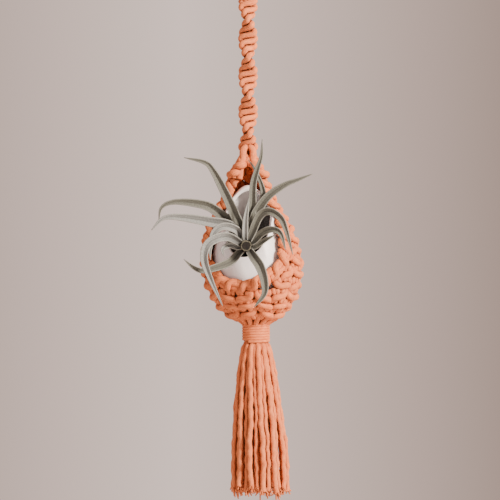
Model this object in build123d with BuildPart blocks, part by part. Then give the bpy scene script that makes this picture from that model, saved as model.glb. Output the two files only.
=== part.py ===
from build123d import *
from math import cos, pi, radians, sin, sqrt, tan
import os

os.makedirs("parts", exist_ok=True)

# Air plant holder of knotted cotton cord, hung by its loop, in millimetres.
# The origin is where a hook touches the inside of the loop. The front is -Y and everything hangs below.

# Cord
soft_gap = 0.3
loop_cord = 4.0
knotted_cord = 3.4
filler_cord = 2.3
tassel_cord = 3.8
wrap_cord = 1.75
overrun = 20.0

# Hanging loop and the throat that the holder sways about
loop_half_width = 7.5
shoulder_drop = 5.5
throat_drop = 22.0
throat_ball = 5.0

# Spiral sinnet
sinnet_drop = 28.0
half_knot_length = 4.6
bulge_width = 15.0
neck_width = 9.6
half_turn_length = 26.4
widest_drop = 57.8

# Pod
pod_drop = 142.1
pod_height = 117.8
pod_radius = 37.0
pod_lean = 5.7
row_wall = 7.6
row_pitch = 7.95
crown_radius = 8.0
crown_height = 9.6
row_gap = 0.5

# Front opening of the pod, turned a little to the left, with its foot below the cup's widest place
opening_drop = 5.0
opening_foot = 7.1
opening_half_width = 26.0
opening_turn = 13.0

# Egg cup, its widest place as a share of the pod's height, and its mouth, from a brow under the
# cup's top down to a sill above the widest place
cup_widest_share = 0.6952
cup_clearance = 1.23
cup_headroom = 12.3
cup_wall = 2.4
mouth_half_width = 17.0
mouth_brow = 2.5
mouth_sill = 10.5

# Gathering wrap and tassel, and how far into the wrap the tassel swings
wrap_height = 15.0
wrap_radius = 10.0
wrap_turns = 6
swing_depth = 8.0
tassel_length = 107.0
tassel_spread = 19.4
tassel_drift = 3.0
inner_strands = 6
outer_strands = 13

# Air plant, its heart above the sill of the cup's mouth
heart_across = -1.4
heart_rise = 7.9
heart_depth = 24.0
stem_radius = 3.7
stem_back = 8.0
stem_front = 15.6
stem_slant = 40.0
plant_spread = 100.0
leaf_thickness = 1.0


def finish(piece, name):
    piece.part.label = name
    export_step(piece.part, f"parts/{name}.step")


def biarc(start, start_way, end, end_way):
    """The point and the direction where two tangent arcs from start to end meet."""
    chord = end - start
    spread = 2 * (1 - start_way.dot(end_way))
    along = chord.dot(start_way + end_way)
    reach = chord.dot(chord) / (along + sqrt(along**2 + spread * chord.dot(chord)))
    first = start + start_way * reach
    last = end - end_way * reach
    return (first + last) * 0.5, (last - first).normalized()


def wind(route, turns, steps):
    """Arcs along route(turn), two to each step, that make one unbroken winding."""
    nudge = 0.001
    count = round(turns * steps)
    marks = [turns * step / count for step in range(count + 1)]
    places = [route(mark) for mark in marks]
    ways = [(route(mark + nudge) - route(mark - nudge)).normalized() for mark in marks]
    for here, way, there, next_way in zip(places, ways, places[1:], ways[1:]):
        meet, meet_way = biarc(here, way, there, next_way)
        TangentArc(here, meet, tangent=way)
        TangentArc(meet, there, tangent=meet_way)
    return Plane(places[0], z_dir=ways[0])


apart_share = 0.6


def least_gap(route, turns, cord):
    """The least gap between a winding's turns, measured on points along it."""
    around = 48
    apart = round(around * apart_share)
    places = [route(mark / around) for mark in range(round(turns * around) + 1)]
    spans = [
        (places[one] - places[two]).length
        for one in range(len(places))
        for two in range(one + apart, min(one + 2 * around, len(places)))
    ]
    return min(spans) - cord


run_share = 0.45


def corner_radii(points):
    """As large a radius at each corner of a cord's route as its two runs allow."""
    radii = []
    for before, corner, after in zip(points, points[1:], points[2:]):
        come, go = corner - before, after - corner
        half_turn = radians(come.get_angle(go)) / 2
        radii.append(run_share * min(come.length, go.length) / tan(half_turn))
    return radii


# Ball about the throat: the loop's legs end inside it, and the sinnet starts outside it
throat = Vector(0, 0, -throat_drop)
leg_foot = -throat_drop - throat_ball
with BuildPart() as outside_ball:
    with BuildSketch(Plane.XY.offset(leg_foot - overrun)):
        Rectangle(overrun, overrun)
    extrude(amount=overrun + throat_ball)
    with Locations(throat):
        Sphere(throat_ball, mode=Mode.SUBTRACT)
with BuildPart() as throat_clearance:
    with Locations(throat):
        Sphere(throat_ball + soft_gap)

# Hanging loop: the fold of the filler cord, a teardrop whose legs end in the throat's ball
loop_radius = loop_cord / 2
leg_offset = loop_radius + soft_gap / 2
down = Vector(0, 0, -1)
with BuildPart() as hanging_loop:
    with BuildLine() as loop_path:
        for side in (1, -1):
            shoulder = Vector(side * loop_half_width, 0, -shoulder_drop)
            hip = Vector(side * leg_offset, 0, loop_radius - throat_drop)
            meet, meet_way = biarc(shoulder, down, hip, down)
            Line((hip.X, 0, leg_foot), hip)
            TangentArc(meet, hip, tangent=meet_way)
            TangentArc(shoulder, meet, tangent=down)
        ThreePointArc(
            (loop_half_width, 0, -shoulder_drop),
            (0, 0, loop_radius),
            (-loop_half_width, 0, -shoulder_drop),
        )
    with BuildSketch(Plane((leg_offset, 0, leg_foot), z_dir=(0, 0, 1))):
        Circle(loop_radius)
    sweep(path=loop_path.wires()[0])
    add(outside_ball.part, mode=Mode.SUBTRACT)
finish(hanging_loop, "hanging_loop")

# Spiral sinnet: fillers and working cords share one slow twist
sinnet_length = pod_drop - soft_gap - sinnet_drop
half_knots = round((sinnet_length - knotted_cord) / half_knot_length)
knot_pitch = (sinnet_length - knotted_cord) / half_knots
twist = pi / half_turn_length


def spun(across, through, drop):
    """A place beside the sinnet's middle, turned as the sinnet is at that drop."""
    turn = twist * (drop - widest_drop)
    return Vector(
        across * cos(turn) - through * sin(turn),
        across * sin(turn) + through * cos(turn),
        -drop,
    )


# Filler cords: two cords side by side down the middle, cut to the throat's ball
filler_offset = (filler_cord + soft_gap) / 2
filler_start = throat_drop
filler_length = pod_drop - soft_gap - filler_start
filler_turns = filler_length / (2 * half_turn_length)
for side, name in ((-1, "filler_cord_left"), (1, "filler_cord_right")):

    def filler_route(turn):
        return spun(side * filler_offset, 0, filler_start + turn * 2 * half_turn_length)

    with BuildPart() as filler:
        with BuildLine() as filler_path:
            end_plane = wind(filler_route, filler_turns, 4)
        with BuildSketch(end_plane):
            Circle(filler_cord / 2)
        sweep(path=filler_path.wires()[0])
        with BuildSketch(Plane.XY.offset(soft_gap - pod_drop)):
            Rectangle(overrun, overrun)
        extrude(amount=-overrun, mode=Mode.SUBTRACT)
        add(throat_clearance.part, mode=Mode.SUBTRACT)
    finish(filler, name)

# Working cords: each goes once round the fillers in every two half knots, wide at the knots' edges
wide_offset = (bulge_width - knotted_cord) / 2
narrow_offset = (neck_width - knotted_cord) / 2
knot_turns = half_knots / 2
first_knot = sinnet_drop + knotted_cord / 2
for lead, name in ((0, "working_cord_first"), (pi, "working_cord_second")):

    def knot_route(turn):
        bearing = lead - 2 * pi * turn
        drop = first_knot + 2 * knot_pitch * turn
        return spun(wide_offset * cos(bearing), narrow_offset * sin(bearing), drop)

    with BuildPart() as working_cord:
        with BuildLine() as knot_path:
            end_plane = wind(knot_route, knot_turns, 4)
        with BuildSketch(end_plane):
            Circle(knotted_cord / 2)
        sweep(path=knot_path.wires()[0])
    print(name, "least gap to itself", round(least_gap(knot_route, knot_turns, knotted_cord), 2))
    finish(working_cord, name)

# Pod: the middle of its wall, as shares of its height, its radius and the wall of a row
pod_shares = [
    (0.060, 0.200, 0.76),
    (0.127, 0.325, 0.78),
    (0.200, 0.390, 0.76),
    (0.261, 0.490, 0.70),
    (0.334, 0.600, 0.62),
    (0.419, 0.752, 0.78),
    (0.491, 0.836, 0.88),
    (0.564, 0.882, 0.96),
    (0.637, 0.898, 1.00),
    (0.716, 0.882, 1.00),
    (0.800, 0.830, 0.94),
    (0.862, 0.728, 0.84),
    (0.915, 0.592, 0.84),
    (0.960, 0.430, 0.84),
]
wall_line = Spline(*[(radius * pod_radius, 0, -drop * pod_height) for drop, radius, _ in pod_shares])
row_count = round(wall_line.length / row_pitch)


def wall_share(drop_share):
    """The wall of a row at this share of the pod's height."""
    for (above, _, thick), (below, _, thin) in zip(pod_shares, pod_shares[1:]):
        if drop_share <= below:
            return thick + (thin - thick) * max(drop_share - above, 0) / (below - above)
    return pod_shares[-1][2]


def lean(drop_share):
    """How far the pod's middle has moved to the right at this share of its height."""
    return pod_lean * drop_share**2


# Front opening: a tunnel with the outline of a teardrop, run forwards through the wall
opening_height = cup_widest_share * pod_height + opening_foot - opening_drop
opening_shares = [
    (0.00, 0.00),
    (0.05, 0.20),
    (0.12, 0.31),
    (0.23, 0.45),
    (0.38, 0.67),
    (0.50, 0.87),
    (0.63, 0.98),
    (0.74, 1.00),
    (0.84, 0.92),
    (0.93, 0.62),
    (1.00, 0.00),
]
front_way = Vector(-sin(radians(opening_turn)), -cos(radians(opening_turn)), 0)
opening_plane = Plane(
    origin=(lean(0.5), 0, -pod_drop - opening_drop),
    x_dir=Vector(0, 0, 1).cross(front_way),
    z_dir=front_way,
)
with BuildPart() as opening_tunnel:
    with BuildSketch(opening_plane):
        with BuildLine():
            right = [(w * opening_half_width, -d * opening_height) for d, w in opening_shares]
            Spline(*right, tangents=((1, 0), (-1, 0)))
            Spline(*[(-w, d) for w, d in right], tangents=((-1, 0), (1, 0)))
        make_face()
    extrude(amount=pod_radius + overrun)


# Egg outline: how far its curves' handles reach, as shares of its radius and heights
round_share = 0.55
drawn_share = 0.44
belt_share = 0.03


def egg_outline(radius, above, below):
    """Half of an egg's outline about its straight belt, closed along its axis."""
    belt = belt_share * radius
    Bezier((0, -below), (round_share * radius, -below), (radius, -round_share * below), (radius, -belt))
    Line((radius, -belt), (radius, belt))
    Bezier((radius, belt), (radius, drawn_share * above), (drawn_share * radius, above), (0, above))
    Line((0, above), (0, -below))


# Crown knot: closes the pod's top under the sinnet
crown_half = crown_height / 2
with BuildPart() as crown_knot:
    with BuildSketch(Plane((0, 0, -pod_drop - crown_half), x_dir=(1, 0, 0), z_dir=(0, -1, 0))):
        with BuildLine():
            egg_outline(crown_radius, crown_half, crown_half)
        make_face()
    revolve(axis=Axis.Z)
finish(crown_knot, "crown_knot")

# Rows of knots: rings one under another down the wall, each cut where the opening passes
for row in range(row_count):
    share = (row + 0.5) / row_count
    middle = wall_line @ share
    slope = wall_line % share
    drop_share = -middle.Z / pod_height
    across = lean(drop_share)
    ring_plane = Plane(
        origin=(across + middle.X, 0, middle.Z - pod_drop), x_dir=slope, z_dir=(0, -1, 0)
    )
    with BuildPart() as knot_row:
        with BuildSketch(ring_plane):
            Ellipse((wall_line.length / row_count - row_gap) / 2, row_wall * wall_share(drop_share) / 2)
        revolve(axis=Axis((across, 0, 0), (0, 0, 1)))
        add(opening_tunnel.part, mode=Mode.SUBTRACT)
    finish(knot_row, f"knot_row_{row + 1:02d}")

# Egg cup: a thin egg, round below and drawn out above, leaning as the pod does, an oval mouth in its front
cup_above = cup_widest_share * pod_height - row_wall - cup_headroom
cup_below = (1 - cup_widest_share) * pod_height - row_wall - soft_gap
cup_radius = max(radius for _, radius, _ in pod_shares) * pod_radius - row_wall / 2 - cup_clearance
cup_widest_drop = pod_drop + cup_widest_share * pod_height
mouth_half_height = (cup_above - mouth_brow - mouth_sill) / 2
mouth_drop = cup_widest_drop - mouth_sill - mouth_half_height
cup_middle = lean(cup_widest_share)
cup_origin = Vector(cup_middle, 0, -cup_widest_drop)
cup_side = Plane(cup_origin, x_dir=(pod_height, 0, pod_lean), z_dir=(0, -1, 0))
cup_axis = Axis(cup_origin, (-pod_lean, 0, pod_height))
mouth_middle = Vector(cup_middle, 0, -mouth_drop)
mouth_plane = Plane(mouth_middle, opening_plane.x_dir, front_way)
with BuildPart() as egg_cup:
    with BuildSketch(cup_side):
        with BuildLine():
            egg_outline(cup_radius, cup_above, cup_below)
        make_face()
    revolve(axis=cup_axis)
    with BuildSketch(cup_side):
        with BuildLine():
            egg_outline(cup_radius - cup_wall, cup_above - cup_wall, cup_below - cup_wall)
        make_face()
    revolve(axis=cup_axis, mode=Mode.SUBTRACT)
    with BuildSketch(mouth_plane):
        Ellipse(mouth_half_width, mouth_half_height)
    extrude(amount=cup_radius + overrun, mode=Mode.SUBTRACT)
finish(egg_cup, "egg_cup")

# Gathered cords: the pod's cords drawn through the wrap, ending in a dome that the tassel swings on
wrap_drop = pod_drop + pod_height
swing_drop = wrap_drop + swing_depth
wrap_middle = Vector(pod_lean, 0, -wrap_drop)
swing_middle = Vector(pod_lean, 0, -swing_drop)
wrap_foot = -wrap_drop - wrap_height
bundle_radius = wrap_radius - wrap_cord - soft_gap
dome_radius = sqrt(wrap_radius**2 + (wrap_foot + swing_drop) ** 2) + soft_gap
bundle_height = wrap_drop + wrap_height - cup_widest_drop - cup_below
with BuildPart() as gathered_cords:
    with BuildSketch(Plane.XY.offset(wrap_foot - soft_gap)):
        with Locations((pod_lean, 0)):
            Circle(bundle_radius)
    extrude(amount=bundle_height)
    with Locations(swing_middle):
        Sphere(dome_radius)
    with BuildSketch(Plane.XY.offset(wrap_foot - soft_gap)):
        with Locations((pod_lean, 0)):
            Circle(overrun)
            Circle(bundle_radius, mode=Mode.SUBTRACT)
    extrude(amount=2 * overrun, mode=Mode.SUBTRACT)
    fillet(gathered_cords.edges().group_by(Axis.Z)[-1], bundle_radius / 2)
finish(gathered_cords, "gathered_cords")

# Gathering wrap: a thin cord wound down round the gathered cords
wrap_line_radius = wrap_radius - wrap_cord / 2
wrap_pitch = (wrap_height - wrap_cord) / wrap_turns


def wrap_route(turn):
    return wrap_middle + Vector(
        wrap_line_radius * sin(2 * pi * turn),
        wrap_line_radius * cos(2 * pi * turn),
        -wrap_cord / 2 - wrap_pitch * turn,
    )


with BuildPart() as gathering_wrap:
    with BuildLine() as wrap_path:
        end_plane = wind(wrap_route, wrap_turns, 4)
    with BuildSketch(end_plane):
        Circle(wrap_cord / 2)
    sweep(path=wrap_path.wires()[0])
print("gathering_wrap least gap to itself", round(least_gap(wrap_route, wrap_turns, wrap_cord), 2))
finish(gathering_wrap, "gathering_wrap")

# Tassel: cut cords that fan out below the wrap, their tops hollowed to swing round the dome
with BuildPart() as swing_clearance:
    with Locations(swing_middle):
        Sphere(dome_radius + soft_gap)
strand_space = tassel_cord + soft_gap
ring_share = 1.05
inner_ring = ring_share * strand_space
outer_ring = max(2 * inner_ring, ring_share * strand_space * outer_strands / (2 * pi))
strand_top = -swing_drop - sqrt((dome_radius + soft_gap) ** 2 - (outer_ring + tassel_cord / 2) ** 2)
# Each strand's cut length as a share of the tassel, and its two bends across and through
strand_shares = [
    (1.00, 0.3, -0.5),
    (0.97, -0.4, 0.3),
    (0.99, 0.5, 0.4),
    (0.98, -0.5, -0.3),
    (1.00, 0.4, -0.4),
    (0.96, -0.3, 0.5),
    (0.99, 0.5, 0.3),
    (0.99, 0.9, -0.4),
    (0.96, -0.7, 0.6),
    (0.97, 0.6, 0.8),
    (0.95, -0.9, -0.5),
    (0.98, 0.8, 0.4),
    (1.00, -0.6, 0.7),
    (0.97, 0.9, -0.6),
    (0.99, -0.8, -0.4),
    (0.95, 0.5, 0.9),
    (0.96, -0.9, 0.5),
    (0.98, 0.7, -0.8),
    (1.00, -0.5, -0.7),
    (0.97, 0.8, 0.6),
]
strand_rings = [(1, 0.0), (inner_strands, inner_ring), (outer_strands, outer_ring)]
strand_feet = [
    (ring * cos(2 * pi * place / count), ring * sin(2 * pi * place / count))
    for count, ring in strand_rings
    for place in range(count)
]
drop_shares = (0.0, 0.22, 0.5, 0.76, 1.0)
spread_shares = (0.0, 0.30, 0.66, 0.86, 1.0)
drift_shares = (0.0, 0.10, 0.55, 0.80, 1.0)
bend_shares = (0.0, 0.5, -1.0, 1.4, -0.6)
strand_bend = 0.9


def strand_route(foot, length_share, sway, swing):
    """Five points down one strand, spread from its place under the wrap."""
    x, y = foot
    grown = tassel_spread / outer_ring - 1
    return [
        Vector(
            pod_lean + x * (1 + grown * spread) + tassel_drift * drift + strand_bend * sway * bend,
            y * (1 + grown * spread) + strand_bend * swing * bend,
            strand_top - tassel_length * length_share * drop,
        )
        for drop, spread, drift, bend in zip(drop_shares, spread_shares, drift_shares, bend_shares)
    ]


for number, (foot, shares) in enumerate(zip(strand_feet, strand_shares), 1):
    points = strand_route(foot, *shares)
    radii = corner_radii(points)
    name = f"tassel_strand_{number:02d}"
    print(name, "bend radii", [round(radius) for radius in radii])
    with BuildPart() as tassel_strand:
        with BuildLine() as strand_path:
            FilletPolyline(*points, radius=radii)
        with BuildSketch(Plane(points[0], z_dir=points[1] - points[0])):
            Circle(tassel_cord / 2)
        sweep(path=strand_path.wires()[0])
        add(swing_clearance.part, mode=Mode.SUBTRACT)
    finish(tassel_strand, name)

# Air plant: a stem that slants up from the back of the cup's floor and leans out of its mouth
heart = Vector(heart_across, -heart_depth, heart_rise + mouth_sill - cup_widest_drop)
stem_way = front_way * cos(radians(stem_slant)) + Vector(0, 0, sin(radians(stem_slant)))
foot_clearance = cup_wall + stem_radius + soft_gap


def in_floor(place):
    """A place as shares of the room that the stem's foot has in the cup's lower half."""
    room, depth = cup_radius - foot_clearance, cup_below - foot_clearance
    return Vector(place.X / room, place.Y / room, place.Z / depth)


stem_bend = heart + Vector(0, stem_back, 0)
bend_place, foot_way = in_floor(stem_bend - cup_origin), in_floor(-stem_way)
past_middle = -bend_place.dot(foot_way) / foot_way.dot(foot_way)
nearest = bend_place + foot_way * past_middle
stem_reach = past_middle + sqrt((1 - nearest.dot(nearest)) / foot_way.dot(foot_way))
stem_points = [heart + Vector(0, -stem_front, 0), stem_bend, stem_bend - stem_way * stem_reach]
with BuildPart() as plant_stem:
    with BuildLine() as stem_path:
        FilletPolyline(*stem_points, radius=corner_radii(stem_points)[0])
    with BuildSketch(Plane(stem_points[0], z_dir=(0, 1, 0))):
        Circle(stem_radius)
    sweep(path=stem_path.wires()[0])
    with Locations(stem_points[-1]):
        Sphere(stem_radius)
finish(plant_stem, "plant_stem")

# Each leaf: its width, then points to the right of the stem, out from the cup and up, all as
# shares of the plant's spread
leaf_shares = [
    (0.056, [
        (0.021, 0.068, 0.071), (0.043, 0.085, 0.257), (0.050, 0.100, 0.428), (0.079, 0.115, 0.540),
        (0.107, 0.125, 0.630), (0.114, 0.140, 0.750),
    ]),
    (0.046, [
        (0.043, 0.042, 0.100), (0.086, 0.050, 0.243), (0.120, 0.055, 0.350), (0.107, 0.060, 0.435),
        (0.057, 0.065, 0.550), (0.014, 0.070, 0.607),
    ]),
    (0.064, [
        (0.036, 0.095, 0.129), (0.079, 0.100, 0.243), (0.157, 0.110, 0.350), (0.271, 0.120, 0.428),
        (0.364, 0.125, 0.465), (0.471, 0.130, 0.507),
    ]),
    (0.056, [
        (0.043, 0.125, 0.093), (0.093, 0.150, 0.207), (0.157, 0.180, 0.243), (0.236, 0.210, 0.200),
        (0.278, 0.230, 0.114), (0.328, 0.240, -0.064),
    ]),
    (0.050, [
        (0.057, 0.075, 0.036), (0.114, 0.090, 0.093), (0.185, 0.120, 0.116), (0.244, 0.140, 0.083),
        (0.278, 0.150, -0.029),
    ]),
    (0.040, [(0.057, 0.042, -0.007), (0.136, 0.050, 0.043), (0.204, 0.060, 0.076)]),
    (0.066, [
        (0.029, 0.135, -0.043), (0.064, 0.155, -0.093), (0.100, 0.170, -0.150), (0.129, 0.180, -0.250),
        (0.126, 0.175, -0.340), (0.057, 0.160, -0.430),
    ]),
    (0.056, [
        (-0.057, 0.060, -0.057), (-0.114, 0.085, -0.114), (-0.228, 0.130, -0.157), (-0.310, 0.155, -0.174),
        (-0.371, 0.160, -0.150), (-0.436, 0.160, -0.093),
    ]),
    (0.044, [
        (-0.057, 0.086, -0.007), (-0.114, 0.105, 0.006), (-0.164, 0.122, -0.022), (-0.156, 0.126, -0.074),
    ]),
    (0.060, [
        (-0.043, 0.136, 0.021), (-0.114, 0.160, 0.060), (-0.193, 0.190, 0.057), (-0.271, 0.210, 0.007),
        (-0.293, 0.215, -0.093), (-0.250, 0.195, -0.230), (-0.164, 0.155, -0.421),
    ]),
    (0.054, [
        (-0.029, 0.110, 0.057), (-0.071, 0.130, 0.114), (-0.161, 0.150, 0.136), (-0.228, 0.165, 0.086),
        (-0.250, 0.170, -0.020), (-0.250, 0.170, -0.100),
    ]),
    (0.072, [
        (-0.050, 0.083, 0.071), (-0.114, 0.092, 0.140), (-0.228, 0.105, 0.165), (-0.450, 0.125, 0.200),
        (-0.580, 0.135, 0.194), (-0.664, 0.140, 0.110),
    ]),
    (0.070, [
        (-0.043, 0.024, 0.086), (-0.080, 0.035, 0.140), (-0.171, 0.050, 0.215), (-0.286, 0.065, 0.286),
        (-0.493, 0.085, 0.310), (-0.593, 0.090, 0.271), (-0.614, 0.095, 0.178),
    ]),
    (0.068, [
        (-0.014, 0.050, 0.090), (-0.064, 0.070, 0.185), (-0.143, 0.090, 0.360), (-0.228, 0.110, 0.521),
        (-0.290, 0.110, 0.586), (-0.436, 0.110, 0.621),
    ]),
    (0.040, [(-0.007, 0.140, 0.080), (-0.002, 0.145, 0.200), (0.021, 0.150, 0.336)]),
]
leaf_steps = 3
width_shares = ((0.0, 0.55), (0.3, 1.0), (0.6, 0.8), (0.85, 0.42), (1.0, 0.08))
channel_share = 0.16
thin_share = 0.4


def taper(along):
    """A leaf's width at this share of its length, as a share of its full width."""
    for (low, wide), (high, narrow) in zip(width_shares, width_shares[1:]):
        if along <= high:
            return wide + (narrow - wide) * (along - low) / (high - low)
    return width_shares[-1][1]


for number, (width_share, place_shares) in enumerate(leaf_shares, 1):
    points = [Vector(x, -y, z) * plant_spread for x, y, z in place_shares]
    seat = (stem_radius + soft_gap) / sqrt(points[0].X ** 2 + points[0].Z ** 2)
    foot = Vector(points[0].X * seat, points[0].Y, points[0].Z * seat)
    midrib = Spline(foot, *points)
    stations = leaf_steps * len(points)
    with BuildPart() as leaf:
        for station in range(stations + 1):
            along = station / stations
            way = midrib % along
            edge_way = way.cross(Vector(0, -1, 0)).normalized()
            wide = plant_spread * width_share * taper(along)
            thick = leaf_thickness * (thin_share + (1 - thin_share) * taper(along))
            with BuildSketch(Plane(heart + (midrib @ along), x_dir=edge_way, z_dir=way)):
                Polygon(
                    (-wide / 2, 0),
                    (0, -wide * channel_share - thick / 2),
                    (wide / 2, 0),
                    (0, -wide * channel_share + thick / 2),
                    align=None,
                )
        loft(ruled=True)
    finish(leaf, f"leaf_{number:02d}")
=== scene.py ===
from math import cos, pi, radians, sin

import bmesh
import bpy
import numpy as np
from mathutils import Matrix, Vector


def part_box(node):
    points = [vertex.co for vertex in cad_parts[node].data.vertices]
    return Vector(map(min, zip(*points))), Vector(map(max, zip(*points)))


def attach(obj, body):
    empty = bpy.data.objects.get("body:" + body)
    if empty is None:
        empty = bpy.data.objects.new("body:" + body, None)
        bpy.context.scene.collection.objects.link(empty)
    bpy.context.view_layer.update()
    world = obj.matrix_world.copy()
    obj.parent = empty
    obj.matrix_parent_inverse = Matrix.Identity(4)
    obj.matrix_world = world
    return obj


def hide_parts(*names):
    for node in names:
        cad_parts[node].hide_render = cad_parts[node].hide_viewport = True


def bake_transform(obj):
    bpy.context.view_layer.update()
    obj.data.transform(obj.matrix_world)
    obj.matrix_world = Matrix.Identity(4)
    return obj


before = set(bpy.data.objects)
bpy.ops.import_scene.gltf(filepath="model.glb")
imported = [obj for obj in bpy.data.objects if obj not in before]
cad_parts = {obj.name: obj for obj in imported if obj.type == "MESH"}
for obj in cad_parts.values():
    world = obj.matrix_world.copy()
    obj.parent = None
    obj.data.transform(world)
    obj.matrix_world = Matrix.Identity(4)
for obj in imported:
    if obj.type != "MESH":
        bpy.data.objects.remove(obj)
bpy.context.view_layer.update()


# Camera: level with the pod and far off, as the photo was taken.
# Its frame is the photo's: 500 pixels at 0.714 mm, centred a little to the right of the sinnet.
def in_scene(name, data):
    """A new object of this data, in the scene."""
    thing = bpy.data.objects.new(name, data)
    bpy.context.scene.collection.objects.link(thing)
    return thing


def view_camera():
    view_width = 0.357
    view_distance = 2.2
    view_middle = Vector((0.0014, 0, -0.2085))
    data = bpy.data.cameras.new("camera")
    data.sensor_width = 36
    data.lens = data.sensor_width / view_width * view_distance
    data.clip_end = 20
    camera = in_scene("camera", data)
    camera.location = view_middle + Vector((0, -view_distance, 0))
    camera.rotation_euler = (pi / 2, 0, 0)
    bpy.context.scene.camera = camera


view_camera()


# Hanging loop: one cord of three-ply peach cotton, folded over the hook, its ends laid together.
# Its legs run down through the throat into the sinnet.
def linear(code):
    """An sRGB colour such as E0A080 as linear red, green, blue and alpha."""
    parts = [int(code[place : place + 2], 16) / 255 for place in (0, 2, 4)]
    return [part / 12.92 if part <= 0.04045 else ((part + 0.055) / 1.055) ** 2.4 for part in parts] + [1]


def new_material(name):
    """A material of this name, its node tree and its shader."""
    material = bpy.data.materials.new(name)
    material.use_nodes = True
    return material, material.node_tree, material.node_tree.nodes["Principled BSDF"]


def add_node(tree, kind, inputs=(), give=None, stops=(), **settings):
    """A new node's output, the one named in give or its first. An input is an output, value or hex colour."""
    node = tree.nodes.new(kind)
    for name, value in settings.items():
        setattr(node, name, value)
    elements = node.color_ramp.elements if stops else []
    while len(elements) < len(stops):
        elements.new(0.5)
    for element, (place, shade) in zip(elements, stops):
        element.position = place
        element.color = linear(shade) if isinstance(shade, str) else (shade, shade, shade, 1)
    for name, value in dict(inputs).items():
        named = [socket for socket in node.inputs if socket.enabled and socket.name == name]
        socket = named[0] if named else node.inputs[name]
        if isinstance(value, bpy.types.NodeSocket):
            tree.links.new(value, socket)
        else:
            socket.default_value = linear(value) if isinstance(value, str) else value
    return next(output for output in node.outputs if output.enabled and give in (None, output.name))


def cotton():
    """Brushed cotton: matt and a little furry, with slanting fibres, and painted shade in the grooves between
    plies and where cords meet.
    """
    # The fibres are drawn far coarser than real ones, so that they show.
    # gap is the dark colour of the painted shade in the grooves and between cords.
    light, middle, deep, worn, gap = "F99663", "E8834F", "BC5830", "CF7850", "501408"
    fibre_width, fibre_length, slant, fur = 0.0007, 0.0042, 0.3, 0.0006
    blotch, crease = 0.0033, 0.005
    material, tree, shader = new_material("brushed_cotton")
    surface = add_node(tree, "ShaderNodeUVMap", uv_map="cord")
    grain = (1 / fibre_width, 1 / fibre_length, 1)
    along = add_node(
        tree, "ShaderNodeMapping", {"Vector": surface, "Rotation": (0, 0, slant), "Scale": grain}
    )
    fibres = add_node(
        tree, "ShaderNodeTexNoise", {"Vector": along, "Scale": 1, "Detail": 4, "Roughness": 0.7}
    )
    place = add_node(tree, "ShaderNodeTexCoord", give="Object")
    blotches = add_node(tree, "ShaderNodeTexNoise", {"Vector": place, "Scale": 1 / blotch, "Detail": 3})
    painted_groove_shade = add_node(tree, "ShaderNodeAttribute", attribute_name="painted_groove_shade", give="Fac")
    shade = add_node(tree, "ShaderNodeAttribute", attribute_name="shade", give="Fac")
    # Painted shade: the ambient occlusion finds where nearby cords hide a spot from the light.
    openness = add_node(tree, "ShaderNodeAmbientOcclusion", {"Distance": crease}, give="AO", samples=8)
    tone = light
    # The last two shares are painted shade: the grooves between plies and the spots that nearby cords hide
    # darken towards the gap colour.
    for share, stops, tint in (
        (blotches, ((0.35, 0.0), (0.7, 1.0)), middle),
        (fibres, ((0.35, 0.55), (0.6, 0.0)), deep),
        (shade, (), worn),
        (painted_groove_shade, ((0.35, 0.0), (1.0, 0.8)), gap),
        (openness, ((0.2, 0.95), (0.8, 0.0)), gap),
    ):
        if stops:
            share = add_node(tree, "ShaderNodeValToRGB", {"Fac": share}, stops=stops)
        tone = add_node(tree, "ShaderNodeMix", {"Factor": share, "A": tone, "B": tint}, data_type="RGBA")
    tree.links.new(tone, shader.inputs["Base Color"])
    bump = add_node(tree, "ShaderNodeBump", {"Height": fibres, "Strength": 0.6, "Distance": fur})
    tree.links.new(bump, shader.inputs["Normal"])
    shader.inputs["Roughness"].default_value = 0.9
    shader.inputs["Sheen Weight"].default_value = 0.08
    shader.inputs["Sheen Roughness"].default_value = 0.5
    shader.inputs["Sheen Tint"].default_value = linear("FFB48C")
    shader.inputs["Specular IOR Level"].default_value = 0.15
    return material


brushed_cotton = cotton()


def smooth_line(points, fineness=10):
    """Points along the NURBS spline that has these points as its control points."""
    curve = bpy.data.curves.new("line", "CURVE")
    curve.dimensions = "3D"
    curve.resolution_u = fineness
    spline = curve.splines.new("NURBS")
    spline.points.add(len(points) - 1)
    for place, point in zip(spline.points, points):
        place.co = (*point, 1)
    spline.order_u = 3
    spline.use_endpoint_u = True
    holder = bpy.data.objects.new("line", curve)
    mesh = bpy.data.meshes.new_from_object(holder)
    line = np.array([vertex.co for vertex in mesh.vertices])
    bpy.data.meshes.remove(mesh)
    bpy.data.objects.remove(holder)
    bpy.data.curves.remove(curve)
    return line


def reach_along(line):
    """How far along the line each of its points lies."""
    return np.concatenate([[0], np.cumsum(np.linalg.norm(np.diff(line, axis=0), axis=1))])


def even_line(line, count):
    """The same line with this many points, evenly spaced, and how far along it each lies."""
    reach = reach_along(line)
    marks = np.linspace(0, reach[-1], count)
    return np.stack([np.interp(marks, reach, line[:, axis]) for axis in range(3)], axis=1), marks


def line_frames(line):
    """Two directions across the line at each point, carried along it without twist."""
    ways = np.gradient(line, axis=0)
    ways /= np.linalg.norm(ways, axis=1)[:, None]
    askew = (0.31, 0.22, 0.92)
    side = np.cross(ways[0], askew)
    sides = []
    for way in ways:
        side = side - way * (side @ way)
        side = side / np.linalg.norm(side)
        sides.append(side)
    sides = np.array(sides)
    return sides, np.cross(ways, sides)


def wave(marks, turned, length):
    """An uneven wave along a cord, from -1.6 to 1.6, that starts as far on as this cord is turned."""
    faster, lower = 2.5, 0.6
    return np.sin(2 * pi * marks / length + turned) + lower * np.sin(
        2 * pi * marks / length * faster + 3 * turned
    )


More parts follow.
